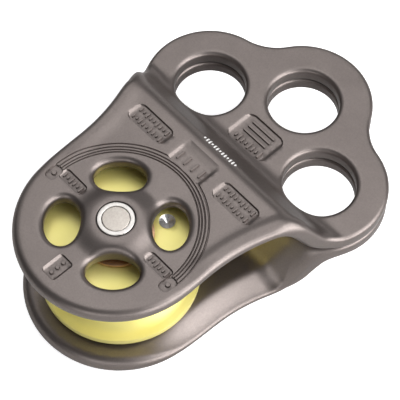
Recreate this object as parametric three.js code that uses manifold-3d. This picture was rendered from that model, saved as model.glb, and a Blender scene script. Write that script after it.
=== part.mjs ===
// Three-hole rope pulley for tree climbing: two mirrored forged cheek plates on one riveted axle,
// with a grooved sheave running on a bronze bush between them.
// Millimetres, +Z up. The pulley lies on its side: the axle stands along Z, the row of karabiner
// holes points along +X, and the origin is the centre of the axle's lower end face.
import * as THREE from "three";
import { mergeVertices } from "three/addons/utils/BufferGeometryUtils.js";
import Module from "manifold-3d";

const wasm = await Module();
wasm.setup();

// ---- driving dimensions ----
const HOLE_RADIUS = 8.75; // karabiner holes
const MIDDLE_HOLE_X = 59.4;
const SIDE_HOLE_X = 46.1;
const SIDE_HOLE_Y = 19.0;
const MIDDLE_LOBE_RADIUS = 16.85; // rim of the cheek round the middle hole
const SIDE_LOBE_RADIUS = 16.4; // rim of the cheek round each side hole
const NECK_RADIUS = 13.0; // hollow between two lobes
const HEEL_RADIUS = 23.5; // round end of the cheek, on the axle's axis
const HEEL_END_ANGLE = THREE.MathUtils.degToRad(98);
const HEEL_REACH = 10.6; // how far the flared side keeps the heel's direction
const FLARE_ANGLE = THREE.MathUtils.degToRad(120); // where the flared side meets the side lobe
const FLARE_REACH = 25.5; // how far the flared side keeps the lobe's direction

const AXLE_HALF_LENGTH = 16.6; // middle plane to the axle's end face
const OUTER_FACE = 15.0; // middle plane to the cheek's raised outer face
const INNER_FACE = 10.4; // middle plane to the cheek's inner face beside the sheave
const SEAM = 0.15; // half of the gap between the two cheeks at the karabiner holes
const HOLE_PLATE_FACE = 3.95; // middle plane to the cheek's outer face at the karabiner holes
const JOGGLE = { outerTop: 29.8, outerFoot: 37.4, innerTop: 26.4, innerFoot: 33.4 };
const JOGGLE_ROUNDING = 3.0; // length of straight taken up by each bend

const HUB_TOP_RADIUS = 5.6;
const HUB_FOOT_RADIUS = 10.5;
const WINDOW_DISTANCE = 12.2; // window centre to the axle's axis
const WINDOW_HALF_LENGTH = 6.1;
const WINDOW_HALF_WIDTH = 4.2;
const WINDOW_COUNT = 4;

const JOURNAL_RADIUS = 3.85; // thick middle of the axle
const TENON_RADIUS = 3.15; // thin ends of the axle, inside the collars
const COLLAR_RADIUS = 4.3;
const COLLAR_THICKNESS = 2.2;
const COUNTERBORE_RADIUS = 4.5;
const CLEARANCE = 0.1; // between an axle piece and what turns or sits on it
const SPACER_RADIUS = 6.0;
const SPACER_HALF_LENGTH = 10.2;
const WASHER_RADIUS = 8.5;
const WASHER_THICKNESS = 0.8;

const SHEAVE_RADIUS = 19.0;
const SHEAVE_HALF_WIDTH = 9.0;
const GROOVE_RADIUS = 6.9; // half-round rope groove, centred on the sheave's rim
const BUSH_RADIUS = 8.0;
const BUSH_HALF_LENGTH = 9.2;
const DIMPLE = { x: 10.8, y: -4.9, radius: 1.9, depth: 1.3 };

// ---- how fine the meshes are ----
const CURVE_STEPS = 14; // segments in each arc of the cheek's outline
const FLARE_STEPS = 24; // segments in each flared side
const BEND_STEPS = 4; // segments in each bend of the cheek's side view
const ROUND_STEPS = 48; // segments in each turned piece
const GROOVE_STEPS = 10; // segments across the rope groove
const DIMPLE_STEPS = 24; // segments round the dimple
const WELD_DISTANCE = 1e-4; // points closer than this are one point
const OVERRUN = 1.0; // how far a cutting shape goes on past the face that it cuts

// ---- colours and finishes ----
const CHEEK_FINISH = { color: 0x827a75, roughness: 0.45, metalness: 0.85 };
const SHEAVE_FINISH = { color: 0xd8cd74, roughness: 0.35, metalness: 0.8 };
const BRONZE_FINISH = { color: 0xb98058, roughness: 0.35, metalness: 1.0 };
const STEEL_FINISH = { color: 0xcfc9c4, roughness: 0.3, metalness: 1.0 };

// ---- solids ----
function toSolid(geometry) {
  const plain = geometry.index ? geometry.toNonIndexed() : geometry;
  plain.deleteAttribute("normal");
  plain.deleteAttribute("uv");
  const merged = mergeVertices(plain, WELD_DISTANCE);
  return new wasm.Manifold(new wasm.Mesh({
    numProp: 3,
    vertProperties: new Float32Array(merged.attributes.position.array),
    triVerts: new Uint32Array(merged.index.array),
  }));
}

function toGeometry(solid) {
  const mesh = solid.getMesh();
  const geometry = new THREE.BufferGeometry();
  geometry.setAttribute("position", new THREE.BufferAttribute(new Float32Array(mesh.vertProperties), 3));
  geometry.setIndex(new THREE.BufferAttribute(new Uint32Array(mesh.triVerts), 1));
  geometry.computeVertexNormals();
  return geometry;
}

// A shape in the XY plane, extruded from height low to height high.
function upright(shape, low, high) {
  const geometry = new THREE.ExtrudeGeometry(shape, {
    depth: high - low, bevelEnabled: false, curveSegments: CURVE_STEPS,
  });
  return toSolid(geometry.translate(0, 0, low));
}

// A profile of [radius, height] points, turned round the Z axis. Its last point joins its first.
function turned(profile) {
  const points = [...profile, profile[0]].map(([radius, height]) => new THREE.Vector2(radius, height));
  return toSolid(new THREE.LatheGeometry(points, ROUND_STEPS).rotateX(Math.PI / 2));
}

function ring(innerRadius, outerRadius, low, high) {
  return turned([[innerRadius, low], [outerRadius, low], [outerRadius, high], [innerRadius, high]]);
}

function disc(x, y, radius) {
  const shape = new THREE.Shape();
  shape.absarc(x, y, radius, 0, 2 * Math.PI, false);
  return shape;
}

// ---- cheek plate ----
// Centre of the arc that is tangent to two circles from outside, on the left of the way a to b.
function outsideTangentCentre(a, radiusA, b, radiusB, radius) {
  const along = new THREE.Vector2().subVectors(b, a);
  const distance = along.length();
  along.normalize();
  const reachA = radiusA + radius;
  const reachB = radiusB + radius;
  const forward = (reachA ** 2 - reachB ** 2 + distance ** 2) / (2 * distance);
  const sideways = Math.sqrt(reachA ** 2 - forward ** 2);
  return new THREE.Vector2(
    a.x + along.x * forward + along.y * -sideways,
    a.y + along.y * forward + along.x * sideways,
  );
}

// The +Y half of the outline, from the tip at the middle hole round to the heel.
function halfOutline() {
  const middle = new THREE.Vector2(MIDDLE_HOLE_X, 0);
  const side = new THREE.Vector2(SIDE_HOLE_X, SIDE_HOLE_Y);
  const neck = outsideTangentCentre(side, SIDE_LOBE_RADIUS, middle, MIDDLE_LOBE_RADIUS, NECK_RADIUS);
  const middleToNeck = Math.atan2(neck.y - middle.y, neck.x - middle.x);
  const sideToNeck = Math.atan2(neck.y - side.y, neck.x - side.x);
  const flare = new THREE.Vector2(
    side.x + SIDE_LOBE_RADIUS * Math.cos(FLARE_ANGLE),
    side.y + SIDE_LOBE_RADIUS * Math.sin(FLARE_ANGLE),
  );
  const heel = new THREE.Vector2(
    HEEL_RADIUS * Math.cos(HEEL_END_ANGLE),
    HEEL_RADIUS * Math.sin(HEEL_END_ANGLE),
  );
  const leavingLobe = new THREE.Vector2(
    flare.x - FLARE_REACH * Math.sin(FLARE_ANGLE),
    flare.y + FLARE_REACH * Math.cos(FLARE_ANGLE),
  );
  const reachingHeel = new THREE.Vector2(
    heel.x + HEEL_REACH * Math.sin(HEEL_END_ANGLE),
    heel.y - HEEL_REACH * Math.cos(HEEL_END_ANGLE),
  );

  const lobes = new THREE.Path();
  lobes.absarc(middle.x, middle.y, MIDDLE_LOBE_RADIUS, 0, middleToNeck, false);
  lobes.absarc(neck.x, neck.y, NECK_RADIUS, middleToNeck + Math.PI, sideToNeck + Math.PI, true);
  lobes.absarc(side.x, side.y, SIDE_LOBE_RADIUS, sideToNeck, FLARE_ANGLE, false);
  const flared = new THREE.CubicBezierCurve(flare, leavingLobe, reachingHeel, heel);
  const round = new THREE.Path();
  round.absarc(0, 0, HEEL_RADIUS, HEEL_END_ANGLE, Math.PI, false);
  return [
    ...lobes.getPoints(CURVE_STEPS),
    ...flared.getPoints(FLARE_STEPS).slice(1, -1),
    ...round.getPoints(CURVE_STEPS),
  ];
}

function cheekOutline() {
  const half = halfOutline();
  const mirrored = half.slice(1, -1).reverse().map((point) => new THREE.Vector2(point.x, -point.y));
  return new THREE.Shape([...half, ...mirrored]);
}

// Goes on to the corner and bends there, so that the path is ready to run towards the next point.
function bendAt(shape, from, corner, to) {
  const before = new THREE.Vector2().subVectors(from, corner).setLength(JOGGLE_ROUNDING).add(corner);
  const after = new THREE.Vector2().subVectors(to, corner).setLength(JOGGLE_ROUNDING).add(corner);
  shape.lineTo(before.x, before.y);
  shape.quadraticCurveTo(corner.x, corner.y, after.x, after.y);
}

// Side view of the cheek, in X and Z: raised beside the sheave, and joggled down to the middle
// plane at the karabiner holes.
function joggledSlab() {
  const heelX = -HEEL_RADIUS - OVERRUN;
  const tipX = MIDDLE_HOLE_X + MIDDLE_LOBE_RADIUS + OVERRUN;
  const halfWidth = SIDE_HOLE_Y + SIDE_LOBE_RADIUS + OVERRUN;
  const corner = (x, z) => new THREE.Vector2(x, z);
  const start = corner(heelX, INNER_FACE);
  const innerTop = corner(JOGGLE.innerTop, INNER_FACE);
  const innerFoot = corner(JOGGLE.innerFoot, SEAM);
  const tip = corner(tipX, SEAM);
  const outerTip = corner(tipX, HOLE_PLATE_FACE);
  const outerFoot = corner(JOGGLE.outerFoot, HOLE_PLATE_FACE);
  const outerTop = corner(JOGGLE.outerTop, OUTER_FACE);
  const end = corner(heelX, OUTER_FACE);

  const shape = new THREE.Shape();
  shape.moveTo(start.x, start.y);
  bendAt(shape, start, innerTop, innerFoot);
  bendAt(shape, innerTop, innerFoot, tip);
  shape.lineTo(tip.x, tip.y);
  shape.lineTo(outerTip.x, outerTip.y);
  bendAt(shape, outerTip, outerFoot, outerTop);
  bendAt(shape, outerFoot, outerTop, end);
  shape.lineTo(end.x, end.y);
  const geometry = new THREE.ExtrudeGeometry(shape, {
    depth: 2 * halfWidth, bevelEnabled: false, curveSegments: BEND_STEPS,
  });
  return toSolid(geometry.rotateX(Math.PI / 2).translate(0, halfWidth, 0));
}

function cheekSolid() {
  const plan = upright(cheekOutline(), 0, OUTER_FACE + OVERRUN);
  const hub = turned([
    [0, INNER_FACE + OVERRUN], [HUB_FOOT_RADIUS, INNER_FACE + OVERRUN], [HUB_FOOT_RADIUS, OUTER_FACE],
    [HUB_TOP_RADIUS, AXLE_HALF_LENGTH], [0, AXLE_HALF_LENGTH],
  ]);
  let cheek = plan.intersect(joggledSlab()).add(hub);
  const holes = [[MIDDLE_HOLE_X, 0], [SIDE_HOLE_X, SIDE_HOLE_Y], [SIDE_HOLE_X, -SIDE_HOLE_Y]];
  for (const [x, y] of holes) {
    cheek = cheek.subtract(upright(disc(x, y, HOLE_RADIUS), -OVERRUN, OUTER_FACE));
  }
  for (let index = 0; index < WINDOW_COUNT; index += 1) {
    const angle = (index + 0.5) * 2 * Math.PI / WINDOW_COUNT;
    const window = new THREE.Shape();
    window.absellipse(
      WINDOW_DISTANCE * Math.cos(angle), WINDOW_DISTANCE * Math.sin(angle),
      WINDOW_HALF_WIDTH, WINDOW_HALF_LENGTH, 0, 2 * Math.PI, false, angle,
    );
    cheek = cheek.subtract(upright(window, 0, AXLE_HALF_LENGTH + OVERRUN));
  }
  const floor = AXLE_HALF_LENGTH - COLLAR_THICKNESS - CLEARANCE;
  const bore = upright(disc(0, 0, JOURNAL_RADIUS + CLEARANCE), 0, floor + OVERRUN);
  const counterbore = upright(disc(0, 0, COUNTERBORE_RADIUS), floor, AXLE_HALF_LENGTH + OVERRUN);
  return cheek.subtract(bore).subtract(counterbore);
}

// ---- axle ----
function axlePinSolid() {
  const shoulder = AXLE_HALF_LENGTH - COLLAR_THICKNESS - CLEARANCE;
  return turned([
    [0, -AXLE_HALF_LENGTH], [TENON_RADIUS, -AXLE_HALF_LENGTH], [TENON_RADIUS, -shoulder],
    [JOURNAL_RADIUS, -shoulder], [JOURNAL_RADIUS, shoulder], [TENON_RADIUS, shoulder],
    [TENON_RADIUS, AXLE_HALF_LENGTH], [0, AXLE_HALF_LENGTH],
  ]);
}

function collarSolid() {
  const low = AXLE_HALF_LENGTH - COLLAR_THICKNESS;
  return ring(TENON_RADIUS + CLEARANCE, COLLAR_RADIUS, low, AXLE_HALF_LENGTH);
}

function spacerSolid() {
  return ring(JOURNAL_RADIUS + CLEARANCE, SPACER_RADIUS, -SPACER_HALF_LENGTH, SPACER_HALF_LENGTH);
}

function thrustWasherSolid() {
  const low = BUSH_HALF_LENGTH + CLEARANCE;
  return ring(SPACER_RADIUS + CLEARANCE, WASHER_RADIUS, low, low + WASHER_THICKNESS);
}

// ---- sheave ----
function bushSolid() {
  return ring(SPACER_RADIUS + CLEARANCE, BUSH_RADIUS, -BUSH_HALF_LENGTH, BUSH_HALF_LENGTH);
}

function sheaveSolid() {
  const bore = BUSH_RADIUS + CLEARANCE;
  const profile = [[bore, -SHEAVE_HALF_WIDTH], [SHEAVE_RADIUS, -SHEAVE_HALF_WIDTH]];
  for (let step = 0; step <= GROOVE_STEPS; step += 1) {
    const angle = Math.PI * (step / GROOVE_STEPS - 0.5);
    profile.push([SHEAVE_RADIUS - GROOVE_RADIUS * Math.cos(angle), GROOVE_RADIUS * Math.sin(angle)]);
  }
  profile.push([SHEAVE_RADIUS, SHEAVE_HALF_WIDTH], [bore, SHEAVE_HALF_WIDTH]);
  const height = DIMPLE.depth + OVERRUN;
  const cone = new THREE.ConeGeometry(height * DIMPLE.radius / DIMPLE.depth, height, DIMPLE_STEPS)
    .rotateX(-Math.PI / 2)
    .translate(DIMPLE.x, DIMPLE.y, SHEAVE_HALF_WIDTH + (OVERRUN - DIMPLE.depth) / 2);
  return turned(profile).subtract(toSolid(cone));
}

// ---- assembly ----
const pulley = new THREE.Group();
pulley.position.z = AXLE_HALF_LENGTH;

// The far side of the pulley is the near side turned over about the X axis.
function place(name, solid, finish, turnedOver = false) {
  const mesh = new THREE.Mesh(toGeometry(solid), new THREE.MeshStandardMaterial(finish));
  mesh.name = name;
  mesh.rotation.x = turnedOver ? Math.PI : 0;
  pulley.add(mesh);
}

place("lower_cheek", cheekSolid(), CHEEK_FINISH, true);
place("upper_cheek", cheekSolid(), CHEEK_FINISH);
place("axle_pin", axlePinSolid(), STEEL_FINISH);
place("lower_axle_collar", collarSolid(), STEEL_FINISH, true);
place("upper_axle_collar", collarSolid(), STEEL_FINISH);
place("axle_spacer", spacerSolid(), STEEL_FINISH);
place("lower_thrust_washer", thrustWasherSolid(), BRONZE_FINISH, true);
place("upper_thrust_washer", thrustWasherSolid(), BRONZE_FINISH);
place("sheave", sheaveSolid(), SHEAVE_FINISH);
place("sheave_bush", bushSolid(), BRONZE_FINISH);

export default pulley;
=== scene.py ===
"""Three-hole rope pulley: fine meshes, materials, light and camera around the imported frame.

Every shape is worked out in millimetres, with the axle's axis as Z and the middle plane between the
two cheeks at z = 0. Meshes are then moved up onto the row frame and scaled to metres.
"""
import math

import bpy
import numpy as np
from mathutils import Matrix, Vector
from mathutils.geometry import delaunay_2d_cdt


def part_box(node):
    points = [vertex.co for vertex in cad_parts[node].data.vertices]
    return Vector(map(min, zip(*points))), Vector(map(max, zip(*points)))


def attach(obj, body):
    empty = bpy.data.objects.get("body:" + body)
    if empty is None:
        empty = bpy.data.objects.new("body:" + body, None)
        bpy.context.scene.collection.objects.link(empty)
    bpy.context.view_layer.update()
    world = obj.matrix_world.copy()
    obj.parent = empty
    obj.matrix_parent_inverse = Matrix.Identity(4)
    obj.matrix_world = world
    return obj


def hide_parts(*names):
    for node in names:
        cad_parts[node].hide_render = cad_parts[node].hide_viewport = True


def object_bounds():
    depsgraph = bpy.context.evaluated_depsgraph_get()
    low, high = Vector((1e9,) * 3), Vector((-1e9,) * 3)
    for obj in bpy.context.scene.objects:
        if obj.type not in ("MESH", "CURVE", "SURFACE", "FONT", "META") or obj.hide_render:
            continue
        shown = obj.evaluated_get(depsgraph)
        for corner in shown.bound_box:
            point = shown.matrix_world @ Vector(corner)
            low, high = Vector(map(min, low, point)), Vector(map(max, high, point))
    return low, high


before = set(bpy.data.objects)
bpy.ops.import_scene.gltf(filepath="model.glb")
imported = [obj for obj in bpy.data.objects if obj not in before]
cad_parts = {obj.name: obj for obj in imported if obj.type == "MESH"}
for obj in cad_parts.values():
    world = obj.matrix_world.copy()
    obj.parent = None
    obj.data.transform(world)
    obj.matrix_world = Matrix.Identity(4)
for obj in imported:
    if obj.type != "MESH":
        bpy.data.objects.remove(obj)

CAD_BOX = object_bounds()
METRES = 0.001
AXLE_HALF_LENGTH = (CAD_BOX[1].z - CAD_BOX[0].z) / 2 / METRES


def half_width(node):
    """Half of a CAD node's size across, in millimetres: its radius, where it is round."""
    low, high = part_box(node)
    return (high.x - low.x) / 2 / METRES


# ---- driving dimensions: the cheek's plan ----
HOLE_RADIUS = 8.75
MIDDLE_HOLE = (59.4, 0.0)
SIDE_HOLE = (46.1, 19.0)
MIDDLE_LOBE_RADIUS = 16.85
SIDE_LOBE_RADIUS = 16.4
NECK_RADIUS = 13.0
HEEL_RADIUS = 23.5
HEEL_END = math.radians(98)
HEEL_REACH = 10.6
FLARE = math.radians(120)
FLARE_REACH = 25.5
WINDOW_DISTANCE = 12.2
WINDOW_HALF_LENGTH = 6.1
WINDOW_HALF_WIDTH = 4.2
COUNTERBORE_RADIUS = 4.5
BORE_RADIUS = 3.95
COUNTERBORE_FLOOR = 14.3

# ---- driving dimensions: the cheek's side view ----
OUTER_FACE = 15.0
INNER_FACE = 10.4
SEAM = 0.15
HOLE_PLATE_FACE = 3.95
OUTER_BENDS = [(29.8, OUTER_FACE, 2.4), (37.4, HOLE_PLATE_FACE, 3.4)]
INNER_BENDS = [(26.4, INNER_FACE, 3.0), (33.4, SEAM, 2.5)]
HUB_TOP_RADIUS = 5.3
HUB_FOOT_RADIUS = 11.0

# ---- driving dimensions: rounded edges ----
HEEL_EDGE = 2.0
WING_EDGE = 2.1
SLOPE_EDGE = 3.0
LOBE_EDGE = 1.05
ROPE_EDGE = 2.5
SEAM_EDGE = 0.9
HOLE_EDGE = 1.2
HOLE_SEAM_EDGE = 0.8
WINDOW_EDGE = 1.5
WINDOW_INNER_EDGE = 2.2
COUNTERBORE_EDGE = 0.15
LEAST_WALL = 0.1  # straight wall left between the rounded edges
OUTER_EDGE_SHARE = 0.68  # how much of the plate's thickness the outer edge's rounding may take
EDGE_ROWS = 8
FINE_EDGE = 0.4  # an edge smaller than this has only FINE_EDGE_ROWS
FINE_EDGE_ROWS = 2
WING_START = (0, 9)  # the X values between which one kind of edge turns into the next
SLOPE_START = (21, 30)
LOBE_START = (33, 40)

# ---- driving dimensions: the rail along the flared sides, where the plate's edge curves outward ----
RAIL_HEIGHT = 0.5
RAIL_CREST = 2.8
RAIL_FOOT = 5.6
RAIL_BENDS = [(30.4, OUTER_FACE, 4.0), (37.0, HOLE_PLATE_FACE, 3.5)]
RAIL_ROWS = 11
RAIL_RISE = (1, 9)  # the X values between which the rail grows, and between which it dies away
RAIL_FALL = (36, 40)
RAIL_END = 41
MOUTH_DEPTH = 2.7
MOUTH_START = 6.3  # from the plate's edge
MOUTH_RISE = (-16, 8)
MOUTH_FALL = (26, 38)

# ---- driving dimensions: recessed panels and what stands in them ----
POCKET_DEPTH = 0.5
POCKET_WALL = 0.2
CHANNEL_DEPTH = 0.36
RAISED_HEIGHT = 0.4
RAISED_WALL = 0.16
LOAD_ARC_LINES = [(18.55, 0.44), (19.2, 0.44), (19.95, 0.44), (20.8, 0.5)]  # radius and width
LOAD_ARC_REACH = math.radians(94)
SMALL_PAD = (-0.35, 14.6)
LARGE_PAD = (23.05, 14.5)
HOLE_PAD = (43.5, 0.25)
HEEL_PAD = (-17.0, 0.15)
ARC_END_PAD = (-1.9, 19.45)
MIDDLE_PANEL = (23.6, 0)
BAR_WIDTH = 0.6

# ---- driving dimensions: sheave ----
SHEAVE_RADIUS = half_width("sheave")
SHEAVE_HALF_WIDTH = 9.0
FIT_GAP = 0.1  # between the bush and the sheave, and round the spacer
SHEAVE_BORE = half_width("sheave_bush") + FIT_GAP
GROOVE_RADIUS = 6.9
RIM_EDGE = 0.55
GROOVE_END = math.radians(8)  # how far short of a half circle the groove stops
GROOVE_LIP = (0.03, 0.15)  # inward and along the axle
DIMPLE = (10.8, -4.9)
DIMPLE_RADIUS = 1.9
DIMPLE_DEPTH = 1.3
DIMPLE_LIP = 0.12

# ---- driving dimensions: axle and bearings ----
TENON_RADIUS = 3.15
COLLAR_BORE = 3.25

# ---- how fine the meshes are ----
NEAR = 0.06  # how close to a wall's foot a point counts as on it
WALL_MARGIN = 0.2  # free strip on both sides of a wall
EDGE_MARGIN = 0.25  # free strip beside a rounded edge
STEEP_WALL_ROWS = (0, 1)
SLANTED_WALL_ROWS = (0, 0.25, 0.5, 0.75, 1)
LOOP_STEP = 0.55
BEZIER_STEPS = 90
FILLER_STEP = 0.9
BEND_STEP = 0.25
HUB_STEP = 0.4
TURNED_STEPS = 160
GROOVE_STEPS = 48
DIMPLE_STEPS = 48
DIMPLE_ROWS = 5
MERGE_DISTANCE = 1e-4

# ---- floor, world and lights, in metres ----
FLOOR_REACH = 3.0
FLOOR_GAP = 0.00005  # keeps the floor clear of the axle's end, which stands on it
FLOOR_GLOW = 0.8  # the floor's own light, for camera rays only
FILL_LIGHT = 0.1  # what the world lights the pulley with
PALE_WORLD = 1.2  # how the world looks beyond the floor
AIM = (0.025, 0, 0.015)
LIGHTS = {  # direction, distance, size, power
    "key": ((0.38, -0.58, 0.72), 0.8, (0.62, 0.58), 4.8),
    "low": ((0.12, -0.95, 0.3), 0.8, (0.9, 0.35), 5.6),
    "far": ((0.93, 0.33, 0.17), 0.9, (0.6, 0.15), 0.35),
    "top": ((0.3, 0.15, 0.94), 0.9, (0.7, 0.7), 2.1),
    "left": ((-0.8, -0.45, 0.33), 0.8, (0.5, 0.3), 1.0),
    "back": ((0.12, 0.62, 0.78), 1.0, (1.0, 1.0), 1.45),
}

# ---- camera ----
CAMERA_PLACE = (-104.67, -142.57, 326.35)  # from the middle of the axle
CAMERA_DIRECTION = (0.3395, 0.3722, -0.8638)
CAMERA_LENS = 143.8
CAMERA_SENSOR = 36.0


# ---- plane curves ----
def arc(x, y, radius, start, end, step=LOOP_STEP):
    count = max(2, math.ceil(abs(end - start) * radius / step))
    angles = np.linspace(start, end, count + 1)
    return np.column_stack([x + radius * np.cos(angles), y + radius * np.sin(angles)])


def bezier(first, second, third, fourth):
    t = np.linspace(0, 1, BEZIER_STEPS + 1)[:, None]
    corners = [np.array(point, float) for point in (first, second, third, fourth)]
    weights = ((1 - t) ** 3, 3 * t * (1 - t) ** 2, 3 * t * t * (1 - t), t ** 3)
    return sum(weight * corner for weight, corner in zip(weights, corners))


def evenly_spaced(points, step):
    """The closed curve through the points, as points an equal way apart."""
    closed = np.vstack([points, points[:1]])
    lengths = np.hypot(*np.diff(closed, axis=0).T)
    along = np.concatenate([[0], np.cumsum(lengths)])
    count = max(8, round(along[-1] / step))
    places = np.linspace(0, along[-1], count, endpoint=False)
    return np.column_stack([np.interp(places, along, closed[:, axis]) for axis in (0, 1)])


def outside_tangent_centre(a, radius_a, b, radius_b, radius):
    """Centre of the arc that is tangent to two circles from outside, on the left of the way a to b."""
    a, b = np.array(a), np.array(b)
    distance = np.linalg.norm(b - a)
    along = (b - a) / distance
    reach_a, reach_b = radius_a + radius, radius_b + radius
    forward = (reach_a ** 2 - reach_b ** 2 + distance ** 2) / (2 * distance)
    sideways = math.sqrt(reach_a ** 2 - forward ** 2)
    return a + along * forward + np.array([-along[1], along[0]]) * sideways


def cheek_outline():
    neck = outside_tangent_centre(SIDE_HOLE, SIDE_LOBE_RADIUS, MIDDLE_HOLE, MIDDLE_LOBE_RADIUS, NECK_RADIUS)
    from_middle = math.atan2(neck[1] - MIDDLE_HOLE[1], neck[0] - MIDDLE_HOLE[0])
    from_side = math.atan2(neck[1] - SIDE_HOLE[1], neck[0] - SIDE_HOLE[0])
    flare = (
        SIDE_HOLE[0] + SIDE_LOBE_RADIUS * math.cos(FLARE),
        SIDE_HOLE[1] + SIDE_LOBE_RADIUS * math.sin(FLARE),
    )
    heel = (HEEL_RADIUS * math.cos(HEEL_END), HEEL_RADIUS * math.sin(HEEL_END))
    half = np.vstack([
        arc(*MIDDLE_HOLE, MIDDLE_LOBE_RADIUS, 0, from_middle),
        arc(*neck, NECK_RADIUS, from_middle + math.pi, from_side + math.pi),
        arc(*SIDE_HOLE, SIDE_LOBE_RADIUS, from_side, FLARE),
        bezier(
            flare,
            (flare[0] - FLARE_REACH * math.sin(FLARE), flare[1] + FLARE_REACH * math.cos(FLARE)),
            (heel[0] + HEEL_REACH * math.sin(HEEL_END), heel[1] - HEEL_REACH * math.cos(HEEL_END)),
            heel,
        ),
        arc(0, 0, HEEL_RADIUS, HEEL_END, math.pi),
    ])
    mirrored = half[1:-1][::-1] * [1, -1]
    return evenly_spaced(np.vstack([half, mirrored]), LOOP_STEP)


def circle(x, y, radius, step=LOOP_STEP):
    return evenly_spaced(arc(x, y, radius, 0, 2 * math.pi, step / 4)[:-1], step)


def window_loop(angle):
    turns = np.linspace(0, 2 * math.pi, 400, endpoint=False)
    radial = WINDOW_DISTANCE + WINDOW_HALF_WIDTH * np.cos(turns)
    tangential = WINDOW_HALF_LENGTH * np.sin(turns)
    points = np.column_stack([
        radial * math.cos(angle) - tangential * math.sin(angle),
        radial * math.sin(angle) + tangential * math.cos(angle),
    ])
    return evenly_spaced(points, LOOP_STEP)


def smooth_step(values, start, end):
    t = np.clip((values - start) / (end - start), 0, 1)
    return t * t * (3 - 2 * t)


# ---- shapes of the recessed panels and what stands in them ----
class Slab:
    """A rectangle with rounded corners. Its length runs along X before it is turned.

    The walls at its two sides are side_wall wide, where that is given. Its depth or height dies
    away between the two X values of fade.
    """

    def __init__(self, x, y, length, width, corner=None, turn=0.0, side_wall=None, fade=None):
        self.side_wall = side_wall
        self.fade = fade
        self.centre = np.array([x, y])
        self.half = np.array([length / 2, width / 2])
        self.corner = min(self.half) if corner is None else corner
        self.axes = np.array([[math.cos(turn), math.sin(turn)], [-math.sin(turn), math.cos(turn)]])

    def distance(self, points):
        """How far each point is outside the edge, and negative inside."""
        local = np.abs((points - self.centre) @ self.axes.T) - self.half + self.corner
        outside = np.hypot(*np.maximum(local, 0).T)
        return outside + np.minimum(local.max(axis=1), 0) - self.corner

    def fullness(self, points, wall):
        """0 outside, 1 on the shape's floor or top, and between the two on its walls."""
        full = np.clip(-self.distance(points) / wall, 0, 1)
        if self.side_wall:
            across = np.abs((points - self.centre) @ self.axes[1])
            full = np.minimum(full, np.clip((self.half[1] - across) / self.side_wall, 0, 1))
        if self.fade:
            full = full * (1 - smooth_step(points[:, 0], *self.fade))
        return full

    def at_foot(self, points, wall):
        """Where a steep wall meets the shape's floor or top."""
        foot = np.abs(self.distance(points) + wall) < NEAR
        if self.side_wall:
            across = np.abs((points - self.centre) @ self.axes[1])
            foot &= across < self.half[1] - self.side_wall + NEAR
        return foot

    def clear_of_walls(self, points, wall):
        """Whether each point lies well outside the shape, or well inside its walls."""
        distance = self.distance(points)
        inside = distance < -wall - WALL_MARGIN
        if self.side_wall:
            across = np.abs((points - self.centre) @ self.axes[1])
            inside &= across < self.half[1] - self.side_wall - WALL_MARGIN
        return (distance > WALL_MARGIN) | inside

    def wall_rows(self):
        """Where the rows of points on the walls run, from 0 at the edge to 1 at the foot."""
        return SLANTED_WALL_ROWS if self.side_wall else STEEP_WALL_ROWS

    def loop(self, wall, share=1.0):
        """The edge at a share of 0, the line where its walls end at 1, and a row on them between."""
        inset = share * np.array([wall, self.side_wall or wall])
        corner = max(self.corner - share * wall, 0.02)
        reach = self.half - inset - corner
        parts = []
        for quarter, (side_x, side_y) in enumerate(((1, 1), (-1, 1), (-1, -1), (1, -1))):
            start = quarter * math.pi / 2
            parts.append(arc(side_x * reach[0], side_y * reach[1], corner, start, start + math.pi / 2, 0.25))
        return self.centre + divided(np.vstack(parts)) @ self.axes

    def thick_enough(self, wall):
        return min(self.half) > wall + 0.01


class Band:
    """A stretch of a ring round the axle's axis, with square ends."""

    def __init__(self, inner, outer, reach):
        self.middle = (inner + outer) / 2
        self.half = (outer - inner) / 2
        self.reach = reach

    def distance(self, points):
        radius = np.hypot(*points.T)
        angle = np.abs(np.arctan2(points[:, 1], points[:, 0]))
        across = np.abs(radius - self.middle) - self.half
        beyond = (angle - self.reach) * radius
        return np.maximum(across, beyond)

    def fullness(self, points, wall):
        return np.clip(-self.distance(points) / wall, 0, 1)

    def clear_of_walls(self, points, wall):
        distance = self.distance(points)
        return (distance > WALL_MARGIN) | (distance < -wall - WALL_MARGIN)

    def wall_rows(self):
        return STEEP_WALL_ROWS

    def loop(self, wall, share=1.0):
        inset = share * wall
        reach = self.reach - inset / self.middle
        outer = arc(0, 0, self.middle + self.half - inset, -reach, reach)
        inner = arc(0, 0, self.middle - self.half + inset, reach, -reach)
        return np.vstack([outer, inner])

    def thick_enough(self, wall):
        return self.half > wall + 0.005


def divided(points, longest=1.0):
    """The closed curve with its long straight stretches cut into short ones."""
    result = []
    for start, end in zip(points, np.roll(points, -1, axis=0)):
        count = max(1, math.ceil(np.linalg.norm(end - start) / longest))
        result.extend(start + (end - start) * step / count for step in range(count))
    return np.array(result)


def tally_row(x, start, pitch, count, height, stroke=BAR_WIDTH):
    """A row of plain bars along Y, every third one full and the others shorter. It is no lettering."""
    lengths = (height, 0.55 * height, 0.78 * height)
    return [Slab(x, start + index * pitch, lengths[index % 3], stroke) for index in range(count)]


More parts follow.
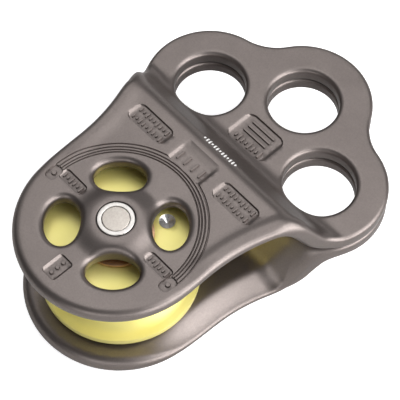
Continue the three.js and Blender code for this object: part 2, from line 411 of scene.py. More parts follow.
def recessed_shapes():
    shapes = [
        Slab(*MIDDLE_PANEL, 7.0, 11.0, 0.5, side_wall=0.9, fade=(24.0, 27.5)),
        Slab(*HOLE_PAD, 9.0, 12.7, 2.4, side_wall=1.0),
        Slab(*HEEL_PAD, 6.0, 4.3, 0.9, side_wall=0.6),
    ]
    for side in (1, -1):
        shapes.append(Slab(SMALL_PAD[0], side * SMALL_PAD[1], 3.1, 7.8, 1.2, side_wall=0.6))
        shapes.append(Slab(LARGE_PAD[0], side * LARGE_PAD[1], 5.3, 12.4, 2.0, side_wall=1.0))
        shapes.append(Slab(ARC_END_PAD[0], side * ARC_END_PAD[1], 4.2, 3.0, 1.2, turn=side * 0.1))
    return shapes


def raised_shapes():
    shapes = []
    for side in (1, -1):
        shapes += tally_row(SMALL_PAD[0], side * SMALL_PAD[1] - 2.7, 1.08, 6, 1.9)
        for offset in (-1.2, 1.15):
            shapes += tally_row(LARGE_PAD[0] + offset, side * LARGE_PAD[1] - 4.5, 1.12, 9, 1.7)
        shapes.append(Slab(ARC_END_PAD[0], side * ARC_END_PAD[1], 1.3, 1.3))
    shapes += [Slab(MIDDLE_PANEL[0] - 1.0, y, 2.6, BAR_WIDTH) for y in (-3.6, -1.2, 1.2, 3.6)]
    shapes += tally_row(HOLE_PAD[0] - 2.6, -3.9, 1.15, 8, 2.3, 0.7)
    shapes += [Slab(HOLE_PAD[0] + offset, 0.3, 0.7, 7.6) for offset in (-0.2, 1.3, 2.8)]
    shapes += [Slab(HEEL_PAD[0] + offset, HEEL_PAD[1], 1.1, 1.1) for offset in (-1.7, 0, 1.7)]
    return shapes


def painted_shapes():
    """The white row of bars at the top of the slope."""
    shapes = []
    for index in range(13):
        length = 1.5 if index % 3 else 0.9
        shapes.append(Slab(30.35, -6.6 + index * 0.85, length, 0.4, turn=0.3))
    return shapes


CHANNELS = [Band(radius - width / 2, radius + width / 2, LOAD_ARC_REACH) for radius, width in LOAD_ARC_LINES]
RECESSED = recessed_shapes()
RAISED = raised_shapes()
PAINTED = painted_shapes()


def fullness_of(shapes, wall, points):
    return np.max([shape.fullness(points, wall) for shape in shapes], axis=0)


def painted_crevice_shade(points):
    """Painted shade: 1 at the foot of the walls of the recessed and raised shapes, and 0 away from them; the
    cheek's colour is darkened there to stand in for the shade in those corners.
    """
    recess_foot = np.any([shape.at_foot(points, POCKET_WALL) for shape in RECESSED], axis=0)
    raised_foot = np.any([shape.at_foot(points, 0) for shape in RAISED], axis=0)
    return (recess_foot | raised_foot).astype(float)


def relief(points):
    recess = POCKET_DEPTH * fullness_of(RECESSED, POCKET_WALL, points)
    channel = CHANNEL_DEPTH * fullness_of(CHANNELS, POCKET_WALL, points)
    raised = RAISED_HEIGHT * fullness_of(RAISED, RAISED_WALL, points)
    return raised - np.maximum(recess, channel)


# ---- heights of the cheek's two faces ----
def bent(x, bends, start_height, end_height):
    """Height along a folded line, with each bend rounded over its reach on both sides."""
    far = 200.0
    middle = [(bend_x, bend_z) for bend_x, bend_z, _ in bends]
    corners = np.array([(-far, start_height), *middle, (far, end_height)])
    heights = np.interp(x, corners[:, 0], corners[:, 1])
    for index, (corner_x, corner_z, reach) in enumerate(bends, start=1):
        corner = corners[index]
        before = corners[index - 1] - corner
        after = corners[index + 1] - corner
        first = corner + before / np.linalg.norm(before) * reach
        last = corner + after / np.linalg.norm(after) * reach
        square = first[0] - 2 * corner_x + last[0]
        linear = 2 * (corner_x - first[0])
        inside = (x > first[0]) & (x < last[0])
        offset = first[0] - x[inside]
        t = (-linear + np.sqrt(linear ** 2 - 4 * square * offset)) / (2 * square)
        heights[inside] = (1 - t) ** 2 * first[1] + 2 * t * (1 - t) * corner_z + t ** 2 * last[1]
    return heights


def outer_height(points, outline_distance):
    x = points[:, 0]
    from_axle = np.hypot(*points.T)
    hub = (AXLE_HALF_LENGTH - OUTER_FACE) * (1 - smooth_step(from_axle, HUB_TOP_RADIUS, HUB_FOOT_RADIUS))
    face = bent(x, OUTER_BENDS, OUTER_FACE, HOLE_PLATE_FACE)
    rail = bent(x, RAIL_BENDS, OUTER_FACE, HOLE_PLATE_FACE)
    rail += RAIL_HEIGHT * smooth_step(x, *RAIL_RISE) * (1 - smooth_step(x, *RAIL_FALL))
    on_rail = 1 - smooth_step(outline_distance, RAIL_CREST, RAIL_FOOT)
    return face + (rail - face) * on_rail + hub + relief(points)


def inner_height(points, outline_distance):
    """The rope side, which opens like a mouth towards the edge of the flared sides."""
    x = points[:, 0]
    beside_sheave = smooth_step(x, *MOUTH_RISE) * (1 - smooth_step(x, *MOUTH_FALL))
    mouth = beside_sheave * (1 - smooth_step(outline_distance, 0, MOUTH_START))
    return bent(x, INNER_BENDS, INNER_FACE, SEAM) + MOUTH_DEPTH * mouth


# ---- the cheek's plan mesh ----
class Boundary:
    """A closed edge of the plate. into is 1 if the plate lies on the left of the loop, or -1."""

    def __init__(self, loop, into, outer_edge, inner_edge):
        ahead = np.roll(loop, -1, axis=0) - np.roll(loop, 1, axis=0)
        ahead /= np.linalg.norm(ahead, axis=1)[:, None]
        self.loop = loop
        self.normals = np.column_stack([-ahead[:, 1], ahead[:, 0]]) * into
        self.into = into
        self.edges = {"outer": outer_edge, "inner": inner_edge}

    def distance(self, points, chunk=4000):
        """The way to the loop's nearest point, and that point's place in the loop."""
        starts = self.loop
        spans = np.roll(self.loop, -1, axis=0) - starts
        lengths = (spans ** 2).sum(axis=1)
        distances, places = [], []
        for first in range(0, len(points), chunk):
            offsets = points[first:first + chunk, None, :] - starts[None]
            t = np.clip((offsets * spans).sum(axis=2) / lengths, 0, 1)
            gaps = np.linalg.norm(offsets - t[..., None] * spans, axis=2)
            nearest = gaps.argmin(axis=1)
            rows = np.arange(len(nearest))
            distances.append(gaps[rows, nearest])
            places.append(nearest)
        return np.concatenate(distances), np.concatenate(places)

    def encloses(self, points, chunk=4000):
        x0, y0 = self.loop.T
        x1, y1 = np.roll(self.loop, -1, axis=0).T
        found = []
        for first in range(0, len(points), chunk):
            x, y = points[first:first + chunk].T[:, :, None]
            straddles = (y0 > y) != (y1 > y)
            crossing = x0 + (y - y0) * (x1 - x0) / np.where(y1 == y0, 1, y1 - y0)
            found.append((straddles & (x < crossing)).sum(axis=1) % 2 == 1)
        return np.concatenate(found)


def make_boundaries():
    loop = cheek_outline()
    on_wing = smooth_step(loop[:, 0], *WING_START)
    on_slope = smooth_step(loop[:, 0], *SLOPE_START)
    on_lobe = smooth_step(loop[:, 0], *LOBE_START)
    outer = HEEL_EDGE + (WING_EDGE - HEEL_EDGE) * on_wing
    outer = outer + (SLOPE_EDGE - outer) * on_slope
    outer = outer + (LOBE_EDGE - outer) * on_lobe
    inner = ROPE_EDGE + (SEAM_EDGE - ROPE_EDGE) * on_lobe
    at_edge = np.zeros(len(loop))
    room = outer_height(loop, at_edge) - inner_height(loop, at_edge) - LEAST_WALL
    outer = np.minimum(outer, room * OUTER_EDGE_SHARE)
    inner = np.minimum(inner, room - outer)
    outline = Boundary(loop, 1, outer, inner)

    def hole(points, outer_edge, inner_edge):
        ones = np.ones(len(points))
        return Boundary(points, -1, ones * outer_edge, ones * inner_edge)

    centres = [MIDDLE_HOLE, SIDE_HOLE, (SIDE_HOLE[0], -SIDE_HOLE[1])]
    openings = [hole(circle(*centre, HOLE_RADIUS), HOLE_EDGE, HOLE_SEAM_EDGE) for centre in centres]
    for quarter in range(4):
        loop = window_loop((quarter + 0.5) * math.pi / 2)
        openings.append(hole(loop, WINDOW_EDGE, WINDOW_INNER_EDGE))
    return outline, openings


def centre_boundary(side):
    radius = COUNTERBORE_RADIUS if side == "outer" else BORE_RADIUS
    edge = COUNTERBORE_EDGE if side == "outer" else 0.0
    angles = np.linspace(0, 2 * math.pi, 72, endpoint=False)
    loop = radius * np.column_stack([np.cos(angles), np.sin(angles)])
    ones = np.ones(len(loop))
    return Boundary(loop, -1, ones * edge, ones * edge)


def filler_points(side):
    """Columns of points all over the cheek, close together where the plate bends."""
    bends = OUTER_BENDS if side == "outer" else INNER_BENDS
    columns = [-HEEL_RADIUS]
    while columns[-1] < MIDDLE_HOLE[0] + MIDDLE_LOBE_RADIUS:
        x = columns[-1]
        near = any(abs(x + 0.3 - bend_x) < reach + 0.5 for bend_x, _, reach in bends)
        columns.append(x + (BEND_STEP if near else FILLER_STEP))
    half_span = SIDE_HOLE[1] + SIDE_LOBE_RADIUS
    points = []
    for index, x in enumerate(columns):
        rows = np.arange(-half_span, half_span, FILLER_STEP) + (index % 2) * FILLER_STEP / 2
        points.append(np.column_stack([np.full(len(rows), x), rows]))
    return np.vstack(points)


def hub_points():
    """Rings of points on the slope of the hub."""
    radii = np.arange(COUNTERBORE_RADIUS + 0.5, HUB_FOOT_RADIUS + 0.6, HUB_STEP)
    return np.vstack([circle(0, 0, radius, 0.6) for radius in radii])


def soft_points(side, outline):
    """Points all over a face. The outer face has rings of them on the hub and rows along the rail."""
    filler = filler_points(side)
    if side == "inner":
        return filler
    filler = filler[np.hypot(*filler.T) > HUB_FOOT_RADIUS + 0.9]
    edge = outline.edges[side]
    with_rail = (outline.loop[:, 0] > 0) & (outline.loop[:, 0] < RAIL_END)
    row_width = (RAIL_FOOT - RAIL_CREST) / (RAIL_ROWS - 2)
    rows = []
    for row in range(1, RAIL_ROWS + 1):
        away = edge + row_width * row
        rows.append((outline.loop + outline.normals * away[:, None])[with_rail])
    distance, place = outline.distance(filler)
    on_rail = with_rail[place] & (distance < edge[place] + row_width * (RAIL_ROWS + 1))
    return np.vstack([filler[~on_rail], hub_points(), *rows])


def fill_in_drops(drop, flat, boundaries, side):
    """Work out how far the rounded edges have dropped from the face wherever that is still nan."""
    unknown = np.isnan(drop)
    drop[unknown] = 0
    for boundary in boundaries:
        distance, place = boundary.distance(flat[unknown])
        size = boundary.edges[side][place]
        inward = np.maximum(size - distance, 0)
        rounding = size - np.sqrt(np.maximum(size ** 2 - inward ** 2, 0))
        drop[unknown] = np.maximum(drop[unknown], rounding)


def plan_mesh(side, outline, openings):
    """Points and triangles of one face of the cheek, and where each boundary's points are in it."""
    boundaries = [outline, *openings, centre_boundary(side)]
    points, drops, edges, starts = [], [], [], []
    total = 0

    def add(new_points, new_drops):
        nonlocal total
        points.append(new_points)
        drops.append(np.broadcast_to(new_drops, len(new_points)))
        total += len(new_points)
        return total - len(new_points)

    def add_loop(loop, new_drops):
        start = add(loop, new_drops)
        count = len(loop)
        edges.extend((start + index, start + (index + 1) % count) for index in range(count))
        return start

    for boundary in boundaries:
        size = boundary.edges[side]
        starts.append(add_loop(boundary.loop, size))
        if size.max() == 0:
            continue
        rows = EDGE_ROWS if size.max() > FINE_EDGE else FINE_EDGE_ROWS
        for row in range(1, rows + 1):
            angle = row / rows * math.pi / 2
            away = size * (1 - math.cos(angle))
            add(boundary.loop + boundary.normals * away[:, None], size * (1 - math.sin(angle)))

    soft = soft_points(side, outline)
    keep = outline.encloses(soft)
    for boundary in boundaries:
        distance, place = boundary.distance(soft)
        keep &= distance > boundary.edges[side][place] + EDGE_MARGIN
        if boundary is not outline:
            keep &= ~boundary.encloses(soft)
    if side == "outer":
        for shapes, wall in ((RECESSED + CHANNELS, POCKET_WALL), (RAISED, RAISED_WALL), (PAINTED, 0)):
            for shape in shapes:
                keep &= shape.clear_of_walls(soft, wall)
                walled = wall and shape.thick_enough(wall)
                for share in shape.wall_rows() if walled else (0,):
                    add_loop(shape.loop(wall, share), np.nan)
    add(soft[keep], np.nan)

    given = np.vstack(points)
    known = np.concatenate(drops)
    corners = [Vector(point) for point in given]
    vertices, _, faces, origins, _, _ = delaunay_2d_cdt(corners, edges, [], 0, MERGE_DISTANCE)
    flat = np.array([(vertex.x, vertex.y) for vertex in vertices])
    faces = np.array(faces)
    centres = flat[faces].mean(axis=1)
    inside = outline.encloses(centres)
    for boundary in boundaries[1:]:
        inside &= ~boundary.encloses(centres)
    faces = faces[inside]

    drop = np.array([known[origin[0]] if origin else np.nan for origin in origins])
    fill_in_drops(drop, flat, boundaries, side)
    outline_distance = outline.distance(flat)[0]
    if side == "outer":
        height = outer_height(flat, outline_distance) - drop
    else:
        height = inner_height(flat, outline_distance) + drop
    place_of = {source: index for index, origin in enumerate(origins) for source in origin}
    loops = [
        [place_of[start + index] for index in range(len(boundary.loop))]
        for start, boundary in zip(starts, boundaries)
    ]
    return np.column_stack([flat, height]), faces, loops


def wall_between(upper, lower, into):
    """Quads from an upper loop down to a lower one, facing away from the plate."""
    count = len(upper)
    quads = []
    for index in range(count):
        after = (index + 1) % count
        quad = (lower[index], lower[after], upper[after], upper[index])
        quads.append(quad if into > 0 else quad[::-1])
    return quads


def cheek_mesh():
    """The upper cheek's vertices and faces, each face's material and each vertex's painted shade value at
    the feet of the relief walls.
    """
    outline, openings = make_boundaries()
    top, top_faces, top_loops = plan_mesh("outer", outline, openings)
    bottom, bottom_faces, bottom_loops = plan_mesh("inner", outline, openings)
    vertices = [*map(tuple, top), *map(tuple, bottom)]
    shift = len(top)
    faces = [tuple(face) for face in top_faces]
    painted = np.min([shape.distance(top[top_faces].mean(axis=1)[:, :2]) for shape in PAINTED], axis=0) < 0
    materials = [int(value) for value in painted]
    faces += [tuple(index + shift for index in face[::-1]) for face in bottom_faces]
    lower_loops = [[index + shift for index in loop] for loop in bottom_loops]
    for boundary, upper, lower in zip([outline, *openings], top_loops, lower_loops):
        faces += wall_between(upper, lower, boundary.into)

    def ring_like(loop, radius, height):
        start = len(vertices)
        for index in loop:
            x, y = vertices[index][:2]
            scale = radius / math.hypot(x, y)
            vertices.append((x * scale, y * scale, height))
        return list(range(start, start + len(loop)))

    mouth = top_loops[-1]
    floor_rim = ring_like(mouth, COUNTERBORE_RADIUS, COUNTERBORE_FLOOR)
    bore_rim = ring_like(mouth, BORE_RADIUS, COUNTERBORE_FLOOR)
    for upper, lower in ((mouth, floor_rim), (floor_rim, bore_rim), (bore_rim, lower_loops[-1])):
        faces += wall_between(upper, lower, -1)
    materials += [0] * (len(faces) - len(materials))
    shade = np.zeros(len(vertices))
    # painted shade: marks the feet of the relief walls, where the cheek's colour is darkened to stand in for
    # shade
    shade[:len(top)] = painted_crevice_shade(top[:, :2])
    return vertices, faces, materials, shade


# ---- turned pieces ----
def softened(corners, steps=4):
    """The profile with each [radius, height, reach] corner rounded over its reach."""
    count = len(corners)
    points = []
    for index, (radius, height, reach) in enumerate(corners):
        corner = np.array([radius, height], float)
        if not reach:
            points.append(tuple(corner))
            continue
        before = np.array(corners[index - 1][:2], float) - corner
        after = np.array(corners[(index + 1) % count][:2], float) - corner
        first = corner + before / np.linalg.norm(before) * reach
        last = corner + after / np.linalg.norm(after) * reach
        for t in np.linspace(0, 1, steps + 1):
            points.append(tuple((1 - t) ** 2 * first + 2 * t * (1 - t) * corner + t * t * last))
    return points


def turned(profile, closed=True):
    """Vertices and faces of a profile turned round Z, anticlockwise as seen with radius to the right."""
    steps = TURNED_STEPS
    vertices, rings = [], []
    for radius, height in profile:
        if radius < 1e-6:
            rings.append([len(vertices)] * steps)
            vertices.append((0.0, 0.0, height))
            continue
        rings.append(list(range(len(vertices), len(vertices) + steps)))
        for step in range(steps):
            angle = 2 * math.pi * step / steps
            vertices.append((radius * math.cos(angle), radius * math.sin(angle), height))
    faces = []
    pairs = list(zip(rings, rings[1:] + rings[:1]))
    if not closed:
        pairs = pairs[:-1]
    for first, second in pairs:
        for step in range(steps):
            after = (step + 1) % steps
            quad = [first[step], first[after], second[after], second[step]]
            face = [index for place, index in enumerate(quad) if index != quad[place - 1]]
            if len(face) > 2:
                faces.append(tuple(face))
    return vertices, faces


def sheave_profile():
    """The lower rim, the groove and the upper rim, from the bottom face's bore to the top face's."""
    corners = [(SHEAVE_BORE, -SHEAVE_HALF_WIDTH, 0.3), (SHEAVE_RADIUS, -SHEAVE_HALF_WIDTH, RIM_EDGE)]
    side = softened([*corners, (SHEAVE_RADIUS, -GROOVE_RADIUS, 0), (SHEAVE_BORE, 0, 0)], steps=6)
    lower_rim = [point for point in side if point[1] < -GROOVE_RADIUS - 0.01]
    groove = []
    for angle in np.linspace(-math.pi / 2 + GROOVE_END, math.pi / 2 - GROOVE_END, GROOVE_STEPS):
        groove.append((SHEAVE_RADIUS - GROOVE_RADIUS * math.cos(angle), GROOVE_RADIUS * math.sin(angle)))
    upper_rim = [(radius, -height) for radius, height in lower_rim[::-1]]
    lip_radius = SHEAVE_RADIUS - GROOVE_LIP[0]
    lip_height = GROOVE_RADIUS + GROOVE_LIP[1]
    return lower_rim + [(lip_radius, -lip_height)] + groove + [(lip_radius, lip_height)] + upper_rim


def sheave_mesh():
    """The turned sheave, with its upper face planned round the conical dimple."""
    profile = sheave_profile()
    vertices, faces = turned(profile, closed=False)
    top = SHEAVE_HALF_WIDTH - 1e-6
    on_top = [index for index, (_, height) in enumerate(profile) if height > top]
    outer_at = max(on_top, key=lambda index: profile[index][0])
    inner_at = min(on_top, key=lambda index: profile[index][0])
    steps = TURNED_STEPS

    def ring(index):
        return list(range(index * steps, (index + 1) * steps))

    outer_ring, inner_ring = ring(outer_at), ring(inner_at)
    faces = [face for face in faces if not all(vertices[index][2] > top for index in face)]
    materials = [0] * len(faces)
    rim = [vertices[index][:2] for index in outer_ring] + [vertices[index][:2] for index in inner_ring]
    edges = [(start + step, start + (step + 1) % steps) for start in (0, steps) for step in range(steps)]
    points = list(rim)
    heights = [SHEAVE_HALF_WIDTH] * len(points)
    cone = [(DIMPLE_RADIUS + DIMPLE_LIP, 0)]
    for row in range(DIMPLE_ROWS + 1):
        share = row / (DIMPLE_ROWS + 1)
        cone.append((DIMPLE_RADIUS * (1 - share), DIMPLE_DEPTH * share + 0.05))
    for radius, depth in cone:
        start = len(points)
        for step in range(DIMPLE_STEPS):
            angle = 2 * math.pi * step / DIMPLE_STEPS
            points.append((DIMPLE[0] + radius * math.cos(angle), DIMPLE[1] + radius * math.sin(angle)))
            heights.append(SHEAVE_HALF_WIDTH - depth)
        edges += [(start + step, start + (step + 1) % DIMPLE_STEPS) for step in range(DIMPLE_STEPS)]
    points.append(DIMPLE)
    heights.append(SHEAVE_HALF_WIDTH - DIMPLE_DEPTH + 0.1)
    for radius in np.arange(SHEAVE_BORE + 1.2, SHEAVE_RADIUS - RIM_EDGE - 0.8, 1.2):
        for x, y in circle(0, 0, radius, 1.3):
            if math.hypot(x - DIMPLE[0], y - DIMPLE[1]) > DIMPLE_RADIUS + 0.6:
                points.append((x, y))
                heights.append(SHEAVE_HALF_WIDTH)
    corners = [Vector(point) for point in points]
    flat, _, triangles, origins, _, _ = delaunay_2d_cdt(corners, edges, [], 0, MERGE_DISTANCE)
    shared = outer_ring + inner_ring
    index_of = []
    for vertex, origin in zip(flat, origins):
        source = origin[0]
        if source < len(shared):
            index_of.append(shared[source])
        else:
            index_of.append(len(vertices))
            vertices.append((vertex.x, vertex.y, heights[source]))
    for triangle in triangles:
        x, y = np.mean([(flat[index].x, flat[index].y) for index in triangle], axis=0)
        if math.hypot(x, y) < math.hypot(*rim[-1]) * math.cos(math.pi / steps):
            continue
        faces.append(tuple(index_of[index] for index in triangle))
        materials.append(int(math.hypot(x - DIMPLE[0], y - DIMPLE[1]) < DIMPLE_RADIUS))
    return vertices, faces, materials


# ---- materials ----
class Finish:
    """A material with a Principled shader, and short ways to add nodes to it."""

    def __init__(self, name, color, metallic, roughness):
        self.material = bpy.data.materials.new(name)
        self.material.use_nodes = True
        self.tree = self.material.node_tree
        self.shader = self.tree.nodes["Principled BSDF"]
        self.shader.inputs["Base Color"].default_value = (*color, 1)
        self.shader.inputs["Metallic"].default_value = metallic
        self.shader.inputs["Roughness"].default_value = roughness
        self.place = self.tree.nodes.new("ShaderNodeTexCoord").outputs["Object"]

    def link(self, output, target):
        self.tree.links.new(output, target)

    def noise(self, scale, detail=3.0, roughness=0.5):
        node = self.tree.nodes.new("ShaderNodeTexNoise")
        node.inputs["Scale"].default_value = scale
        node.inputs["Detail"].default_value = detail
        node.inputs["Roughness"].default_value = roughness
        self.link(self.place, node.inputs["Vector"])
        return node.outputs["Fac"]

    def rings(self, scale):
        """Fine turning lines round the axle's axis."""
        node = self.tree.nodes.new("ShaderNodeTexWave")
        node.wave_type = "RINGS"
        node.rings_direction = "Z"
        node.inputs["Scale"].default_value = scale
        node.inputs["Distortion"].default_value = 0.4
        node.inputs["Detail"].default_value = 2.0
        self.link(self.place, node.inputs["Vector"])
        return node.outputs["Fac"]

    def remap(self, value, low, high, start=0.3, end=0.7):
        node = self.tree.nodes.new("ShaderNodeMapRange")
        node.inputs["From Min"].default_value = start
        node.inputs["From Max"].default_value = end
        node.inputs["To Min"].default_value = low
        node.inputs["To Max"].default_value = high
        self.link(value, node.inputs["Value"])
        return node.outputs["Result"]

    def blend(self, factor, first, second):
        node = self.tree.nodes.new("ShaderNodeMix")
        node.data_type = "RGBA"
        ends = [socket for socket in node.inputs if socket.type == "RGBA"]
        for socket, color in zip(ends, (first, second)):
            socket.default_value = (*color, 1)
        self.link(factor, node.inputs["Factor"])
        return next(socket for socket in node.outputs if socket.type == "RGBA")

    def attribute(self, name):
        node = self.tree.nodes.new("ShaderNodeAttribute")
        node.attribute_name = name
        return node.outputs["Fac"]

    def darkened(self, color, factor, level):
        """The colour, multiplied by level where factor is 1."""
        node = self.tree.nodes.new("ShaderNodeMix")
        node.data_type = "RGBA"
        node.blend_type = "MULTIPLY"
        first, second = [socket for socket in node.inputs if socket.type == "RGBA"]
        second.default_value = (level, level, level, 1)
        self.link(color, first)
        self.link(factor, node.inputs["Factor"])
        return next(socket for socket in node.outputs if socket.type == "RGBA")

    def color(self, output):
        self.link(output, self.shader.inputs["Base Color"])

    def roughness(self, output):
        self.link(output, self.shader.inputs["Roughness"])

    def bump(self, heights, distances):
        """heights is a list of outputs, laid over each other, each as high as its distance."""
        normal = None
        for height, size in zip(heights, distances):
            node = self.tree.nodes.new("ShaderNodeBump")
            node.inputs["Strength"].default_value = 1.0
            node.inputs["Distance"].default_value = size
            self.link(height, node.inputs["Height"])
            if normal:
                self.link(normal, node.inputs["Normal"])
            normal = node.outputs["Normal"]
        self.link(normal, self.shader.inputs["Normal"])


def anodised_grey():
    finish = Finish("cheek anodised grey", (0.25, 0.215, 0.2), 0.95, 0.4)
    patches = finish.noise(90, 2.0)
    tint = finish.blend(finish.remap(patches, 0, 1), (0.215, 0.185, 0.174), (0.243, 0.21, 0.197))
    grain = finish.noise(2600, 4.0, 0.6)
    speckled = finish.darkened(tint, finish.remap(grain, 0, 1), 0.9)
    # painted shade: the colour is multiplied by 0.72 at the feet of the recess and relief walls, where shade
    # falls
    finish.color(finish.darkened(speckled, finish.attribute("painted_crevice_shade"), 0.72))
    finish.roughness(finish.remap(grain, 0.36, 0.46))
    finish.bump([grain, finish.noise(350, 2.0)], [0.000009, 0.000012])
    return finish.material


def white_paint():
    finish = Finish("white marking paint", (0.85, 0.84, 0.82), 0.0, 0.6)
    grain = finish.noise(4000, 3.0)
    finish.color(finish.blend(finish.remap(grain, 0, 1), (0.75, 0.74, 0.72), (0.92, 0.91, 0.9)))
    finish.bump([grain], [0.00001])
    return finish.material


def anodised_yellow():
    finish = Finish("sheave anodised yellow", (0.95, 0.86, 0.3), 0.55, 0.42)
    patches = finish.noise(120, 2.0)
    finish.color(finish.blend(finish.remap(patches, 0, 1), (0.93, 0.84, 0.27), (0.97, 0.88, 0.33)))
    finish.roughness(finish.remap(finish.noise(2500), 0.38, 0.46))
    finish.bump([finish.rings(1400)], [0.0000008])
    return finish.material


def bare_aluminium():
    finish = Finish("bare drilled aluminium", (0.95, 0.95, 0.96), 0.85, 0.3)
    patches = finish.noise(900, 2.0)
    finish.color(finish.blend(finish.remap(patches, 0, 1), (0.92, 0.92, 0.93), (0.98, 0.98, 0.99)))
    finish.roughness(finish.remap(finish.noise(3500), 0.26, 0.36))
    finish.bump([finish.noise(1800, 2.0)], [0.00003])
    return finish.material


def bronze():
    finish = Finish("bearing bronze", (0.75, 0.45, 0.28), 1.0, 0.3)
    patches = finish.noise(300, 3.0)
    finish.color(finish.blend(finish.remap(patches, 0, 1), (0.66, 0.38, 0.22), (0.82, 0.52, 0.34)))
    finish.bump([finish.rings(1800)], [0.000003])
    return finish.material


def turned_steel():
    finish = Finish("turned steel", (0.72, 0.69, 0.66), 1.0, 0.28)
    patches = finish.noise(500, 3.0)
    finish.color(finish.blend(finish.remap(patches, 0, 1), (0.68, 0.65, 0.62), (0.76, 0.73, 0.7)))
    finish.roughness(finish.remap(finish.noise(1500), 0.34, 0.42))
    finish.bump([finish.rings(1500), finish.noise(3000)], [0.000001, 0.000002])
    return finish.material


def blasted_steel():
    finish = Finish("blasted pin steel", (0.8, 0.75, 0.7), 0.85, 0.5)
    mottle = finish.noise(1500, 4.0, 0.7)
    finish.color(finish.blend(finish.remap(mottle, 0, 1), (0.58, 0.52, 0.47), (0.78, 0.73, 0.67)))
    finish.roughness(finish.remap(mottle, 0.42, 0.62))
    finish.bump([mottle], [0.00002])
    return finish.material


# ---- pieces ----
def piece(name, mesh_parts, materials, body, node, turned_over=False):
    """A named mesh in the row frame that stands for a CAD node and rides on its body."""
    vertices, faces, *extras = mesh_parts
    mesh = bpy.data.meshes.new(name)
    mesh.from_pydata(vertices, [], faces)
    for material in materials:
        mesh.materials.append(material)
    if extras:
        mesh.polygons.foreach_set("material_index", extras[0])
    if len(extras) > 1:
        # the second extra is the painted shade at the feet of the relief walls, which darkens the cheek's
        # colour
        mesh.attributes.new("painted_crevice_shade", "FLOAT", "POINT").data.foreach_set("value", extras[1])
    mesh.polygons.foreach_set("use_smooth", [True] * len(mesh.polygons))
    if turned_over:
        mesh.transform(Matrix.Rotation(math.pi, 4, "X"))
    mesh.transform(Matrix.Scale(METRES, 4) @ Matrix.Translation((0, 0, AXLE_HALF_LENGTH)))
    mesh.set_sharp_from_angle(angle=math.radians(35))
    obj = bpy.data.objects.new(name, mesh)
    bpy.context.scene.collection.objects.link(obj)
    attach(obj, body)
    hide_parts(node)


def height_span(node):
    """The heights of a CAD node's lower and upper end over the middle plane, in millimetres."""
    return [value.z / METRES - AXLE_HALF_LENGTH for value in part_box(node)]


def sleeve(bore, rim, heights, edges):
    """A ring with a square section. edges rounds its corners, from the bore's lower one on."""
    low, high = heights
    corners = [(bore, low), (rim, low), (rim, high), (bore, high)]
    return turned(softened([(*corner, edge) for corner, edge in zip(corners, edges)]))


def make_cheeks():
    mesh = cheek_mesh()
    finishes = [anodised_grey(), white_paint()]
    piece("upper_cheek_plate", mesh, finishes, "swing_cheek", "upper_cheek")
    piece("lower_cheek_plate", mesh, finishes, "frame", "lower_cheek", turned_over=True)


def make_sheave():
    finishes = [anodised_yellow(), bare_aluminium()]
    piece("grooved_sheave", sheave_mesh(), finishes, "sheave", "sheave")


def make_axle():
    journal, shoulder = half_width("axle_pin"), COUNTERBORE_FLOOR
    half = [(TENON_RADIUS, AXLE_HALF_LENGTH, 0.22), (TENON_RADIUS, shoulder, 0), (journal, shoulder, 0.15)]
    lower = [(radius, -height, reach) for radius, height, reach in half]
    corners = [(0, -AXLE_HALF_LENGTH, 0), *lower, *half[::-1], (0, AXLE_HALF_LENGTH, 0)]
    pin = turned(softened(corners), closed=False)
    piece("axle_pin_body", pin, [blasted_steel()], "frame", "axle_pin")

    steel = turned_steel()
    collar = half_width("upper_axle_collar")
    ring = sleeve(COLLAR_BORE, collar, height_span("upper_axle_collar"), (0.1, 0.1, 0.22, 0.1))
    for side in ("upper", "lower"):
        node = f"{side}_axle_collar"
        piece(f"{node}_ring", ring, [steel], "frame", node, turned_over=side == "lower")

    tube = sleeve(BORE_RADIUS, half_width("axle_spacer"), height_span("axle_spacer"), [0.2] * 4)
    piece("axle_spacer_tube", tube, [steel], "frame", "axle_spacer")


def make_bearings():
    metal = bronze()
    bore = half_width("axle_spacer") + FIT_GAP
    washer = half_width("upper_thrust_washer")
    ring = sleeve(bore, washer, height_span("upper_thrust_washer"), (0.1, 0.15, 0.15, 0.1))
    for side in ("upper", "lower"):
        node = f"{side}_thrust_washer"
        piece(f"{node}_ring", ring, [metal], "frame", node, turned_over=side == "lower")

    bush = sleeve(bore, half_width("sheave_bush"), height_span("sheave_bush"), [0.2] * 4)
    piece("sheave_bush_sleeve", bush, [metal], "sheave", "sheave_bush")


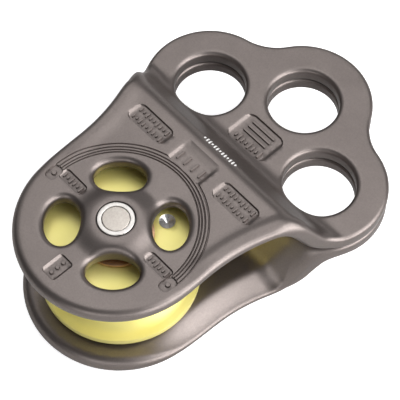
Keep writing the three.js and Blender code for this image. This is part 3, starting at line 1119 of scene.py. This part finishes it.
# ---- stage, light and camera ----
def make_floor():
    finish = Finish("pale floor", (0.75, 0.75, 0.75), 0.0, 0.9)
    seen = finish.tree.nodes.new("ShaderNodeLightPath").outputs["Is Camera Ray"]
    finish.shader.inputs["Emission Color"].default_value = (1, 1, 1, 1)
    finish.link(finish.remap(seen, 0.0, FLOOR_GLOW, 0, 1), finish.shader.inputs["Emission Strength"])
    mesh = bpy.data.meshes.new("floor")
    quarters = ((-1, -1), (1, -1), (1, 1), (-1, 1))
    corners = [(x * FLOOR_REACH, y * FLOOR_REACH, -FLOOR_GAP) for x, y in quarters]
    mesh.from_pydata(corners, [], [(0, 1, 2, 3)])
    mesh.materials.append(finish.material)
    floor = bpy.data.objects.new("floor", mesh)
    bpy.context.scene.collection.objects.link(floor)


def softbox(name, direction, distance, size, power):
    """A soft white light that faces the pulley from the given direction."""
    light = bpy.data.lights.new(name, "AREA")
    light.shape = "RECTANGLE"
    light.size, light.size_y = size
    light.energy = power
    obj = bpy.data.objects.new(name, light)
    bpy.context.scene.collection.objects.link(obj)
    away = Vector(direction).normalized()
    obj.location = Vector(AIM) + away * distance
    obj.rotation_mode = "QUATERNION"
    obj.rotation_quaternion = away.to_track_quat("Z", "Y")


def make_world():
    world = bpy.data.worlds.new("studio")
    world.use_nodes = True
    background = world.node_tree.nodes["Background"]
    background.inputs["Color"].default_value = (0.97, 0.98, 1.0, 1)
    nodes, links = world.node_tree.nodes, world.node_tree.links
    strength = nodes.new("ShaderNodeMapRange")
    strength.inputs["To Min"].default_value = FILL_LIGHT
    strength.inputs["To Max"].default_value = PALE_WORLD
    links.new(nodes.new("ShaderNodeLightPath").outputs["Is Camera Ray"], strength.inputs["Value"])
    links.new(strength.outputs["Result"], background.inputs["Strength"])
    bpy.context.scene.world = world


def make_lights():
    for name, (direction, distance, size, power) in LIGHTS.items():
        softbox(name, direction, distance, size, power)


def make_camera():
    """The camera stands over the heel, on the -Y side, and looks down at the pulley."""
    camera = bpy.data.cameras.new("camera")
    camera.lens = CAMERA_LENS
    camera.sensor_width = CAMERA_SENSOR
    camera.clip_start = 0.01
    camera.clip_end = 10
    obj = bpy.data.objects.new("camera", camera)
    bpy.context.scene.collection.objects.link(obj)
    obj.location = (Vector(CAMERA_PLACE) + Vector((0, 0, AXLE_HALF_LENGTH))) * METRES
    obj.rotation_mode = "QUATERNION"
    obj.rotation_quaternion = Vector(CAMERA_DIRECTION).to_track_quat("-Z", "Y")
    bpy.context.scene.camera = obj


make_cheeks()
make_sheave()
make_axle()
make_bearings()
make_floor()
make_world()
make_lights()
make_camera()
bpy.context.scene.view_settings.view_transform = "Standard"
